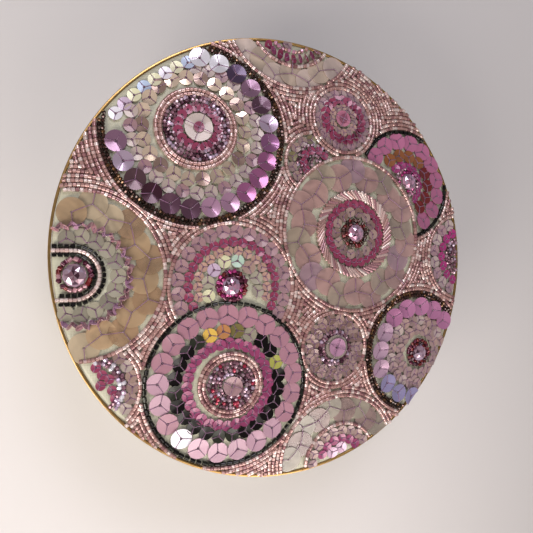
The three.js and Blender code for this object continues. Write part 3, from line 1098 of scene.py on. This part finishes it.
# %% Black rosette
# The white lilac sequin at the lower left is a blush sequin with a painted highlight.
sequin_ring("black", "flat", "pearl", 22.6, 7.1, 21,
            "3 pale blush, 12 blush, 2 pale blush, blush, white lilac, 2 pale blush",
            first=-79.7, middle=(-19.9, -41.6), lean=0.09)
sequin_ring("black", "cup", "black", 17.3, 4.8, 24,
            "2 jet green, 6 jet, lime, 2 jet, grey sage, olive, copper, gold, jet green, 3 jet, "
            "jet green, 4 jet",
            first=-98.5, middle=(-20.0, -41.6))
sequin_ring("black", "cup", "film", 13.6, 3.7, 28, "fuchsia", middle=(-19.9, -41.9))
bead_rows("black", (10.3, 8.9), "rose, deep rose, pale rose", (-19.1, -42.0), 1.25, 1.45)
bead_cluster("black", 3.2, 8.2, MAUVE_CRYSTALS + ", ruby", (-18.9, -42.1), 1.35, 1.2, "cut_bead")
print("sequins so far:", sum(map(len, SEQUINS.values())))

# %% [markdown]
# The bugle rosette has a net of large clear sequins, crimson and cream cups, and bronze beads round
# its crystal. The amber one has a net in amber, then a pleated mauve ring. A pleat is made by two
# rings of small cups that lean steeply, one folded in and one out. Bows of jet bugles and of pale
# beads go round its crystal.

# %% Bugle and amber rosettes
BOW_MIDDLE = (-67.5, -6.4)

clear_net("bugle", 21.4, 9.8, 22,
          "taupe pink, taupe green, taupe pink, taupe mauve, taupe pink, taupe green, taupe pink", 172.4)
sequin_ring("bugle", "cup", "film", 10.3, 3.1, 24, "crimson", arms=2)
sequin_ring("bugle", "cup", "pearl", 7.5, 3.5, 14, "cream, dark beige", arms=2)
bead_cluster("bugle", 2.6, 6.0, "bronze, dark bronze, bronze, maroon", (25.8, 8.4), 1.3)
clear_net("amber", 20.6, 9.4, 22, "amber, deep amber, amber, deep amber, 2 pale amber", -3)
for start, fold in ((0, 0.7), (5.5, -0.7)):
    sequin_ring("amber", "deep_cup", "film", 15.3, 3.0, 33, "2 old rose, pink", first=start, lean=1.0,
                lift=1.0, tilt=fold, arms=1, loose=0.3)
sequin_ring("amber", "flat", "pearl", 11.7, 4.9, 17, "sage, grey sage", lift=0.5)
for radius in (8.8, 6.1):
    bead_bow("amber", radius, JET_MIX, BOW_MIDDLE, 1.75, 1.2, "bugle")
bead_bow("amber", 7.45, "pale rose, white rose", BOW_MIDDLE, 1.25, 1.4, "bead")
bead_cluster("amber", 3.9, 5.3, "dark magenta, maroon, old rose", (-67.3, -6.3), 1.5)
print("sequins so far:", sum(map(len, SEQUINS.values())))

# %% [markdown]
# The crimson, small, olive, lilac and orchid rosettes. Their rings alternate pearly and glossy cups, and the
# lilac one has deep metallic cups outside, from orchid through white to blue; the three white ones, on the
# left, are pink cups with a painted highlight where the window lights them.

# %% Smaller rosettes
sequin_ring("crimson", "cup", "pearl", 17.9, 4.6, 25, "dusty mauve", lift=0.5)
sequin_ring("crimson", "cup", "film", 14.5, 3.2, 28, "crimson")
sequin_ring("crimson", "cup", "pearl", 11.6, 3.1, 22, "peach")
sequin_ring("crimson", "cup", "pearl", 8.4, 4.3, 12,
            "2 sage, cream, pearl mint, pearl yellow, lilac, sage, pearl yellow, cream, 2 sage, dusty mauve",
            first=-10)
bead_cluster("crimson", 2.6, 5.6, "2 dark magenta, magenta, maroon", (-19.3, -9.7))
sequin_ring("small", "flat", "pearl", 9.4, 3.8, 20, "dusty mauve, beige", lift=0.7, tilt=0.1)
sequin_ring("small", "cup", "film", 7.3, 3.3, 20, "crimson", lean=0.3, lift=1.0, arms=2, loose=0.2)
sequin_ring("small", "cup", "pearl", 4.6, 2.8, 12, "cream, peach", lift=0.9)
sequin_ring("olive", "cup", "pearl", 10.0, 3.6, 18, "cream, dark beige")
sequin_ring("olive", "cup", "pearl", 8.0, 3.4, 15, "beige, dark beige")
bead_cluster("olive", 4.0, 6.9, MAUVE_CRYSTALS, step=1.2, kind="cut_bead")
# Its three metal white cups, on the left, are pink cups with a painted highlight.
sequin_ring("lilac", "deep_cup", "metal", 16.9, 6.9, 16,
            "3 metal orchid, 3 metal white, 5 metal blue, 5 metal orchid", first=85.5, lift=0.9)
sequin_ring("lilac", "cup", "pearl", 12.0, 4.2, 21, "beige, cream, mauve beige", middle=(54.2, -34.9))
sequin_ring("lilac", "cup", "pearl", 8.4, 4.2, 15, "beige, cream", middle=(54.5, -35.1), lift=0.7)
bead_cluster("lilac", 2.7, 5.6, "maroon, dark magenta, wine", (54.9, -35.3), 1.3)
sequin_ring("orchid", "flat", "film", 15.8, 6.6, 16, "orchid pink", first=10)
sequin_ring("orchid", "cup", "film", 10.6, 4.8, 14, "2 maroon, 8 brown, 4 maroon")
sequin_ring("orchid", "cup", "film", 6.8, 3.4, 14, "magenta", lift=0.8, tilt=0.3)
bead_cluster("orchid", 2.8, 5.4, "crystal pink, magenta, crystal pale", (49.6, 28.1), 1.3, kind="cut_bead")
print("sequins so far:", sum(map(len, SEQUINS.values())))

# %% [markdown]
# The rosettes that the brass or a neighbour cuts off. Each is sewn as a whole circle, and the test
# for open silk leaves out what isn't seen. The edge rosette keeps six crimson cups, strewn and not
# in a ring.

# %% Rosettes at the rim
LOOSE_CUPS = [(-61, -34.5), (-59.2, -36.8), (-57, -38.2), (-59.6, -40.1), (-56.2, -41.7), (-55.3, -44.2)]

# The back net's shades are in part painted light: lighter where the back of the lid is lit.
clear_net("back", 20.8, 9.4, 22, "pale cream, pale beige", 4)
sequin_ring("back_inner", "cup", "film", 13.1, 3.2, 32, "crimson, fuchsia", lean=0.7, lift=1.0, arms=1,
            loose=0.3)
bead_cluster("back_inner", 9.6, 11.9, "crystal pink, rose, deep rose", kind="cut_bead")
sequin_ring("back_inner", "cup", "pearl", 8.2, 3.6, 14, "beige", lift=0.5)
clear_net("front", 18.0, 9.2, 20, "beige, pale sage", 14)
sequin_ring("front_inner", "cup", "pearl", 11.2, 3.6, 20, "beige, cream")
sequin_ring("front_inner", "cup", "film", 8.2, 3.5, 16, "fuchsia", lift=0.7)
sequin_ring("front_inner", "cup", "pearl", 4.8, 4.2, 8, "metal white")
sequin_ring("right", "cup", "pearl", 13.2, 4.4, 19, "mauve beige, dusty mauve")
sequin_ring("right", "cup", "film", 9.4, 3.6, 16, "magenta", lift=0.7)
bead_cluster("right", 0.8, 7.9, MAUVE_CRYSTALS, kind="cut_bead")
sequin_ring("hidden", "cup", "pearl", 8.2, 3.5, 15, "cream, olive, beige", lift=0.5)
bead_cluster("hidden", 0.8, 6.9, MAUVE_CRYSTALS, size=1.2, step=1.2, kind="cut_bead")
sequin_ring("hidden", "cup", "film", 4.4, 2.8, 10, "crimson", lift=1.2)
sequin_ring("edge", "cup", "pearl", 12.2, 3.9, 22, "beige, cream, mauve beige")
bead_cluster("edge", 7.6, 10.4, "white lilac, lilac, crystal mauve", size=1.6, kind="cut_bead")
for x, y in LOOSE_CUPS:
    add_sequin("edge", "cup", "film", x, y, 3.1, 0.0, 0.1, "crimson", 0.6)
print("sequins:", sum(map(len, SEQUINS.values())))

# %% [markdown]
# The lists become pieces, one for each shape and finish in a rosette. One piece for every sequin
# would be hundreds of objects, and one for all of them would pass the size that exports well.

# %% Sequin pieces
FINISHES = {
    "metal": CUP_FILM, "black": BLACK_FILM, "pearl": PEARL_FILM, "clear": CLEAR_FILM,
    "film": GLOSS_FILM,
}
FIELD_SLOTS = {
    "plum": "plum_sequins", "black": "blush_sequins", "bugle": "taupe_sequins", "small": "crimson_sequins",
    "amber": "amber_sequins", "olive": "beige_sequins", "lilac": "orchid_sequins",
    "orchid": "orchid_sequins", "back_inner": "crimson_sequins", "back": "beige_sequins",
    "front_inner": "blush_sequins", "front": "beige_sequins", "right": "crimson_sequins",
    "crimson": "crimson_sequins", "hidden": "beige_sequins", "edge": "beige_sequins",
}

for (name, kind, finish), points in SEQUINS.items():
    sewn_piece(f"{name}_rosette_{finish}_{kind}s", kind, points, FINISHES[finish], FIELD_SLOTS[name],
               nodes_named(f"{name}_rosette_field"), 0.03)
print("sequin pieces:", len(SEQUINS))

# %% [markdown]
# The ring of silver-lined bugles in the bugle rosette lies aslant, each one leaning on the next, so
# its outer edge is a rope of bright ends. Only this ring has such a slant, so it has a loop of its
# own. Then all the small bead work is made in the same way as the sequins.

# %% Slanting bugles and the small bead work
BUGLE_MIX = "pale rose, bugle pink, rose, bugle pink, white rose"
BUGLE_WIDTH = 1.25


def slanting_bugles(name, inner, outer, count, slant):
    row = shade_row(BUGLE_MIX)
    points = []
    for k in range(count):
        angle = TURN * k / count
        x, y = around(ROSETTES[name], (inner + outer) / 2, angle)
        place, turn = lay(x, y, angle + slant + DICE.uniform(-0.05, 0.05), 0.9, pitch=-0.12)
        stretch = ((outer - inner) * 1.12, BUGLE_WIDTH, BUGLE_WIDTH)
        points.append((place, turn, stretch, shade(DICE.choice(row), 0.15)))
    return points


CLUSTERS[("bugle", "bugle")] = slanting_bugles("bugle", 11.7, 15.5, 64, 0.85)
for (name, kind), points in CLUSTERS.items():
    jet = (name, kind) == ("amber", "bugle")
    slot = "black_bugles" if jet else "rose_beads"
    finish = METAL_BEAD if jet else GLASS_BEAD
    sewn_piece(f"{name}_rosette_inner_{kind}s", kind, points, finish, slot, [], 0.06)
print("small bead pieces:", len(CLUSTERS))

# %% [markdown]
# Five rosettes carry a cut crystal in the middle. It is glass, ground with rings of sloping facets round a
# flat table and mirrored on its back. Clear glass with refraction would be slow to render and would look
# dark, so it is a bright faceted solid instead. Each facet has its own tint, lighter or darker, a painted
# reflection of another part of the room, and the facets stay flat, so that each takes the light whole.

# %% Crystals
STONES = {
    "amber_middle_crystal": ("crystal pale", 7.2), "crimson_middle_crystal": ("crystal pink", 6.2),
    "bugle_middle_crystal": ("crystal pink", 6.2), "orchid_middle_crystal": ("crystal pink", 6.2),
    "lilac_middle_crystal": ("crystal pale", 6.0),
}
TIERS = ((0.86, 0.2), (1, 0.8), (0.82, 1.6), (0.45, 2.2), (0, 2.35))  # share of the radius, height in mm
FACETS = 9


def middle_of(node):
    low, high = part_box(node)
    return (low.x + high.x) / 2 / MM, (low.y + high.y) / 2 / MM


def crystal(node, shade_name, size):
    x, y = middle_of(node)
    place, turn = lay(x, y, 0.3, 0.9)
    mesh = bmesh.new()
    rings = []
    for tier, (share, z) in enumerate(TIERS):
        r = size / 2 * share
        angles = [TURN * k / FACETS + math.pi / FACETS * (tier % 2) for k in range(FACETS if r else 1)]
        spots = [Vector((r * math.cos(a), r * math.sin(a), z)) for a in angles]
        rings.append([mesh.verts.new((place + turn @ spot) * MM) for spot in spots])
    mesh.faces.new(rings[0])
    for tier, (low, high) in enumerate(zip(rings, rings[1:])):
        for k in range(FACETS):
            n = (k + 1) % FACETS
            if len(high) == 1:
                mesh.faces.new((low[k], low[n], high[0]))
            elif tier % 2 == 0:
                mesh.faces.new((low[k], low[n], high[k]))
                mesh.faces.new((low[n], high[n], high[k]))
            else:
                mesh.faces.new((low[k], low[n], high[n]))
                mesh.faces.new((low[k], high[n], high[k]))
    piece = mesh_object(f"{node}_cut", mesh, smooth=False)
    tint = piece.data.attributes.new("tint", "FLOAT_COLOR", "CORNER")
    for face in piece.data.polygons:
        # Each facet gets a painted reflection: its own lighter or darker tint.
        facet_reflection = shade(DICE.choice([shade_name, shade_name, "lilac", "crystal mauve", "wine"]), 0.2)
        for corner in face.loop_indices:
            tint.data[corner].color = facet_reflection
    return dress(piece, CRYSTAL, "cut_crystal", node)


for node, (shade_name, size) in STONES.items():
    crystal(node, shade_name, size)
print("crystals:", len(STONES))

# %% [markdown]
# Four rosettes end in large sequins, most of them with a smaller one on top, and four stitches cross
# over each. They are sewn points like the rest, only one at a time. The layers are given from below
# as shape, size, shade and height.

# %% Middle sequins
MIDDLES = {
    "plum_middle_sequin": [("flat", 9.3, "mauve beige", 0.0), ("cup", 3.5, "crimson", 0.5)],
    "black_middle_sequin": [("cup", 6.5, "dusty mauve", 0.0)],
    "small_middle_cup": [("cup", 5.8, "rose cup", 0.0), ("cup", 3.0, "crimson", 0.6)],
    "olive_middle_sequin": [("flat", 8.4, "grey sage", 0.0), ("cup", 6.4, "pink cup", 0.5)],
}
METAL_LAYER = ("olive_middle_sequin", 1)

for node, layers in MIDDLES.items():
    x, y = middle_of(node)
    for number, (kind, size, shade_name, height) in enumerate(layers):
        place, turn = lay(x, y, 0.4, 1.5 + height)
        points = [(place, turn, (size, size, size), shade(shade_name, 0.0))]
        finish = CUP_FILM if (node, number) == METAL_LAYER else PEARL_FILM
        sewn_piece(f"{node}_{number + 1}", kind, points, finish, "middle_sequins", [node], 0.0)
    top = Vector((x, y, silk_level(x, y) + 2.2 + layers[-1][3]))
    for arm in range(4):
        out = toward(1.2 + arm * math.pi / 2) * (layers[0][1] / 2)
        stitch([top, top + out * 0.6, top + out - UP * 0.1, top + out * 1.05 - UP * 0.9])
print("middle sequins:", len(MIDDLES))

# %% [markdown]
# The stitches are plum rayon, about 0.24 mm thick. Each is a short path over a sequin's edge and down
# into the silk. Curve objects with a bevel could be used, one for each stitch, but there are more than
# a thousand. So a second Geometry Nodes tree turns all the paths at once into thread with a small
# five-sided section, and its tint changes a little from point to point.

# %% Thread
THREAD_SIDES = 5


def thread_tree():
    tree, start = open_tree("thread_along_paths", [
        ("Geometry", "NodeSocketGeometry", None), ("Thickness", "NodeSocketFloat", THREAD_SIZE * MM),
        ("Sides", "NodeSocketInt", THREAD_SIDES), ("Finish", "NodeSocketMaterial", None),
    ])
    paths = add_node(tree, "GeometryNodeMeshToCurve", inputs={"Mesh": start["Geometry"]})
    half = add_node(tree, "ShaderNodeMath", {"operation": "MULTIPLY"}, {0: start["Thickness"], 1: 0.5})
    section = add_node(tree, "GeometryNodeCurvePrimitiveCircle", inputs={
        "Resolution": start["Sides"], "Radius": half.outputs["Value"],
    })
    cord = add_node(tree, "GeometryNodeCurveToMesh", inputs={
        "Curve": paths.outputs["Curve"], "Profile Curve": section.outputs["Curve"], "Fill Caps": True,
    })
    return close_tree(tree, cord.outputs["Mesh"], start["Finish"])


THREADS = thread_tree()


def thread_piece(name, stitches):
    verts = [point for path in stitches for point in path]
    edges = []
    start = 0
    for path in stitches:
        edges += [(start + k, start + k + 1) for k in range(len(path) - 1)]
        start += len(path)
    data = bpy.data.meshes.new(name)
    data.from_pydata(verts, edges, [])
    keep_on_points(data, "tint", "FLOAT_COLOR", "color", [v for _ in verts for v in shade("thread", 0.35)])
    piece = add_object(name, data)
    run_tree(piece, THREADS, {"Thickness": THREAD_SIZE * MM, "Sides": THREAD_SIDES, "Finish": THREAD})
    tuck_under_band(piece)
    return dress(piece, None, "silk_ground")


middle = len(STITCHES) // 2
thread_piece("plum_stitches_1", STITCHES[:middle])
thread_piece("plum_stitches_2", STITCHES[middle:])
for shape in SHAPES.values():
    bpy.data.objects.remove(shape)
print("stitches:", len(STITCHES))

# %% [markdown]
# A pale floor and soft studio light. The window light stands low on the left, as in the photograph,
# where the left of the lid is bright and its right falls off. A panel and a small card in front and a
# panel behind give the beads their glints, and a dim, even room fills the shadows.

# %% Floor and light
FLOOR_SIZE = 1.6
LIGHT_AIM = Vector((0, 0, 0.05))
LIGHTS = {
    "window": ((-0.32, -0.24, 0.27), 0.22, 1.6, "fff8f2"),
    "front_panel": ((0.1, -0.42, 0.52), 0.3, 0.8, "fff6ee"),
    "front_card": ((0.05, -0.19, 0.17), 0.09, 0.12, "fff6f0"),
    "back_panel": ((-0.02, 0.42, 0.62), 0.3, 2.0, "f6f4ff"),
}


def make_floor():
    mesh = bmesh.new()
    bmesh.ops.create_grid(mesh, x_segments=1, y_segments=1, size=FLOOR_SIZE)
    floor = mesh_object("studio_floor", mesh)
    material, _, _ = new_material("pale_floor", {"Base Color": linear("d8d4d2"), "Roughness": 0.7})
    floor.data.materials.append(material)
    floor.location.z = -0.0002


def area_light(name, place, size, power, colour):
    data = bpy.data.lights.new(name, "AREA")
    data.size = size
    data.energy = power
    data.color = linear(colour)[:3]
    light = add_object(name, data)
    light.location = place
    light.rotation_euler = (LIGHT_AIM - Vector(place)).to_track_quat("-Z", "Y").to_euler()


make_floor()
for name, values in LIGHTS.items():
    area_light(name, *values)
world = bpy.data.worlds.new("studio")
world.use_nodes = True
room = world.node_tree.nodes["Background"]
room.inputs["Color"].default_value = linear("d4d0d0")
room.inputs["Strength"].default_value = 0.3
bpy.context.scene.world = world
bpy.context.scene.view_settings.view_transform = "Standard"
print("lights:", list(LIGHTS))
